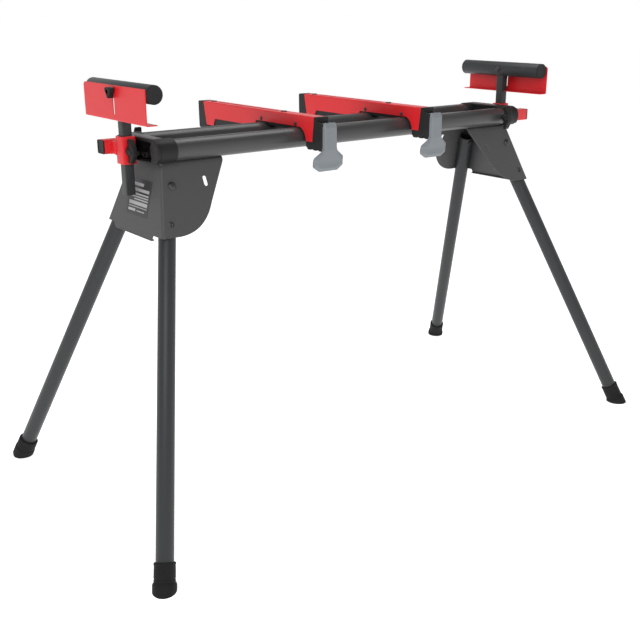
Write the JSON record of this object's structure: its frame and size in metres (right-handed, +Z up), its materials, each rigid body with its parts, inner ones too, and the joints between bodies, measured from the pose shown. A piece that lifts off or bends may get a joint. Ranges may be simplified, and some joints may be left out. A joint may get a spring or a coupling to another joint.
{
  "type": "folding mitre saw stand",
  "caption": "Folding stand for a mitre saw: round-rail beam, splayed folding legs, clamp-on saw arms and pull-out work supports with lift-up stops.",
  "frame": {"origin": "on the floor, under the middle of the beam", "axes": "+X along the beam to the right, +Z up, -Y towards the clamp levers"},
  "size_m": [1.4624, 0.755, 0.8963],
  "materials": {
    "rail_paint": "satin charcoal powder coat",
    "bracket_paint": "fine-textured charcoal powder coat",
    "leg_paint": "satin dark grey powder coat",
    "red_paint": "satin red powder coat",
    "black_plastic": "fine-grained moulded",
    "grey_plastic": "fine-grained moulded",
    "rubber": "matte",
    "dark_steel": "black oxide"
  },
  "bodies": {
    "frame": {"beam": "rail_paint", "left_end_cap": "black_plastic", "left_leg_bracket": "bracket_paint", "right_end_cap": "black_plastic", "right_leg_bracket": "bracket_paint", "front_left_pivot_pin": "dark_steel", "back_left_pivot_pin": "dark_steel", "back_right_pivot_pin": "dark_steel", "front_right_pivot_pin": "dark_steel"},
    "front_left_leg": {"front_left_leg": "leg_paint", "front_left_boot": "rubber"},
    "front_left_lock_button": {"front_left_lock_button": "dark_steel"},
    "back_left_leg": {"back_left_leg": "leg_paint", "levelling_insert": "black_plastic"},
    "levelling_foot": {"levelling_foot": "rubber"},
    "back_left_lock_button": {"back_left_lock_button": "dark_steel"},
    "back_right_leg": {"back_right_leg": "leg_paint", "back_right_boot": "rubber"},
    "back_right_lock_button": {"back_right_lock_button": "dark_steel"},
    "front_right_leg": {"front_right_leg": "leg_paint", "front_right_boot": "rubber"},
    "front_right_lock_button": {"front_right_lock_button": "dark_steel"},
    "left_extension": {"left_extension_arm": "red_paint", "left_tube_plug": "black_plastic"},
    "left_extension_knob": {"left_extension_knob": "black_plastic"},
    "left_post_knob": {"left_post_knob": "black_plastic"},
    "left_post": {"left_post": "leg_paint", "left_support_bar": "leg_paint", "left_bar_cap_front": "black_plastic", "left_bar_cap_back": "black_plastic", "left_bar_bolt": "dark_steel"},
    "left_stop_plate": {"left_stop_plate": "red_paint"},
    "left_stop_knob": {"left_stop_knob": "black_plastic"},
    "left_arm": {"left_arm_channel": "red_paint", "left_arm_saddle": "black_plastic", "left_arm_rear_end": "black_plastic", "left_front_casing": "black_plastic", "left_lever_pin": "dark_steel", "left_saw_bolt_front": "dark_steel", "left_saw_bolt_back": "dark_steel"},
    "left_lever": {"left_lever": "grey_plastic"},
    "right_extension": {"right_extension_arm": "red_paint", "right_tube_plug": "black_plastic"},
    "right_extension_knob": {"right_extension_knob": "black_plastic"},
    "right_post_knob": {"right_post_knob": "black_plastic"},
    "right_post": {"right_post": "leg_paint", "right_support_bar": "leg_paint", "right_bar_cap_front": "black_plastic", "right_bar_cap_back": "black_plastic", "right_bar_bolt": "dark_steel"},
    "right_stop_plate": {"right_stop_plate": "red_paint"},
    "right_stop_knob": {"right_stop_knob": "black_plastic"},
    "right_arm": {"right_arm_channel": "red_paint", "right_arm_saddle": "black_plastic", "right_arm_rear_end": "black_plastic", "right_front_casing": "black_plastic", "right_lever_pin": "dark_steel", "right_saw_bolt_front": "dark_steel", "right_saw_bolt_back": "dark_steel"},
    "right_lever": {"right_lever": "grey_plastic"}
  },
  "joints": [
    {"name": "front_left_leg_fold", "type": "hinge", "parent": "frame", "child": "front_left_leg", "pos_m": [-0.4964, -0.06256, 0.68933], "axis": [0, -0.922, 0.3872], "range_deg": [0, 107.5]},
    {"name": "front_left_lock_press", "type": "slide", "parent": "front_left_leg", "child": "front_left_lock_button", "axis": [0, 0.922, -0.3872], "range_m": [0, 0.004], "stiffness_N_per_m": 600},
    {"name": "back_left_leg_fold", "type": "hinge", "parent": "frame", "child": "back_left_leg", "pos_m": [-0.4964, 0.06256, 0.68933], "axis": [0, -0.922, -0.3872], "range_deg": [0, 99.7]},
    {"name": "back_left_lock_press", "type": "slide", "parent": "back_left_leg", "child": "back_left_lock_button", "axis": [0, -0.922, -0.3872], "range_m": [0, 0.004], "stiffness_N_per_m": 600},
    {"name": "back_right_leg_fold", "type": "hinge", "parent": "frame", "child": "back_right_leg", "pos_m": [0.4964, 0.06256, 0.68933], "axis": [0, 0.922, 0.3872], "range_deg": [0, 107.5]},
    {"name": "back_right_lock_press", "type": "slide", "parent": "back_right_leg", "child": "back_right_lock_button", "axis": [0, -0.922, -0.3872], "range_m": [0, 0.004], "stiffness_N_per_m": 600},
    {"name": "front_right_leg_fold", "type": "hinge", "parent": "frame", "child": "front_right_leg", "pos_m": [0.4964, -0.06256, 0.68933], "axis": [0, 0.922, -0.3872], "range_deg": [0, 99.7]},
    {"name": "front_right_lock_press", "type": "slide", "parent": "front_right_leg", "child": "front_right_lock_button", "axis": [0, 0.922, -0.3872], "range_m": [0, 0.004], "stiffness_N_per_m": 600},
    {"name": "levelling_foot_screw", "type": "slide", "parent": "back_left_leg", "child": "levelling_foot", "axis": [-0.2707, 0.3728, -0.8876], "range_m": [0, 0.02]},
    {"name": "left_extension_slide", "type": "slide", "parent": "frame", "child": "left_extension", "axis": [-1, 0, 0], "range_m": [0, 0.56]},
    {"name": "left_extension_knob_turn", "type": "hinge", "parent": "frame", "child": "left_extension_knob", "pos_m": [-0.472, 0.1, 0.7645], "axis": [0, 1, 0], "range_deg": [0, 360]},
    {"name": "left_post_height", "type": "slide", "parent": "left_extension", "child": "left_post", "axis": [0, 0, 1], "range_m": [-0.026, 0.058]},
    {"name": "left_post_knob_turn", "type": "hinge", "parent": "left_extension", "child": "left_post_knob", "pos_m": [-0.5445, -0.015, 0.7615], "axis": [0, -1, 0], "range_deg": [0, 360]},
    {"name": "left_stop_lift", "type": "slide", "parent": "left_post", "child": "left_stop_plate", "axis": [0, 0, 1], "range_m": [0, 0.036]},
    {"name": "left_stop_knob_turn", "type": "hinge", "parent": "left_post", "child": "left_stop_knob", "pos_m": [-0.57, 0.01, 0.877], "axis": [-1, 0, 0], "range_deg": [0, 360]},
    {"name": "left_arm_slide", "type": "slide", "parent": "frame", "child": "left_arm", "axis": [1, 0, 0], "range_m": [-0.254, 0.108]},
    {"name": "left_lever_swing", "type": "hinge", "parent": "left_arm", "child": "left_lever", "pos_m": [-0.16, -0.1475, 0.793], "axis": [-1, 0, 0], "range_deg": [0, 90]},
    {"name": "right_extension_slide", "type": "slide", "parent": "frame", "child": "right_extension", "axis": [1, 0, 0], "range_m": [0, 0.56]},
    {"name": "right_extension_knob_turn", "type": "hinge", "parent": "frame", "child": "right_extension_knob", "pos_m": [0.472, -0.1, 0.7645], "axis": [0, -1, 0], "range_deg": [0, 360]},
    {"name": "right_post_height", "type": "slide", "parent": "right_extension", "child": "right_post", "axis": [0, 0, 1], "range_m": [-0.026, 0.058]},
    {"name": "right_post_knob_turn", "type": "hinge", "parent": "right_extension", "child": "right_post_knob", "pos_m": [0.5445, 0.015, 0.7615], "axis": [0, 1, 0], "range_deg": [0, 360]},
    {"name": "right_stop_lift", "type": "slide", "parent": "right_post", "child": "right_stop_plate", "axis": [0, 0, 1], "range_m": [0, 0.036]},
    {"name": "right_stop_knob_turn", "type": "hinge", "parent": "right_post", "child": "right_stop_knob", "pos_m": [0.57, -0.01, 0.877], "axis": [1, 0, 0], "range_deg": [0, 360]},
    {"name": "right_arm_slide", "type": "slide", "parent": "frame", "child": "right_arm", "axis": [1, 0, 0], "range_m": [-0.1, 0.262]},
    {"name": "right_lever_swing", "type": "hinge", "parent": "right_arm", "child": "right_lever", "pos_m": [0.152, -0.1475, 0.793], "axis": [-1, 0, 0], "range_deg": [0, 90]}
  ]
}
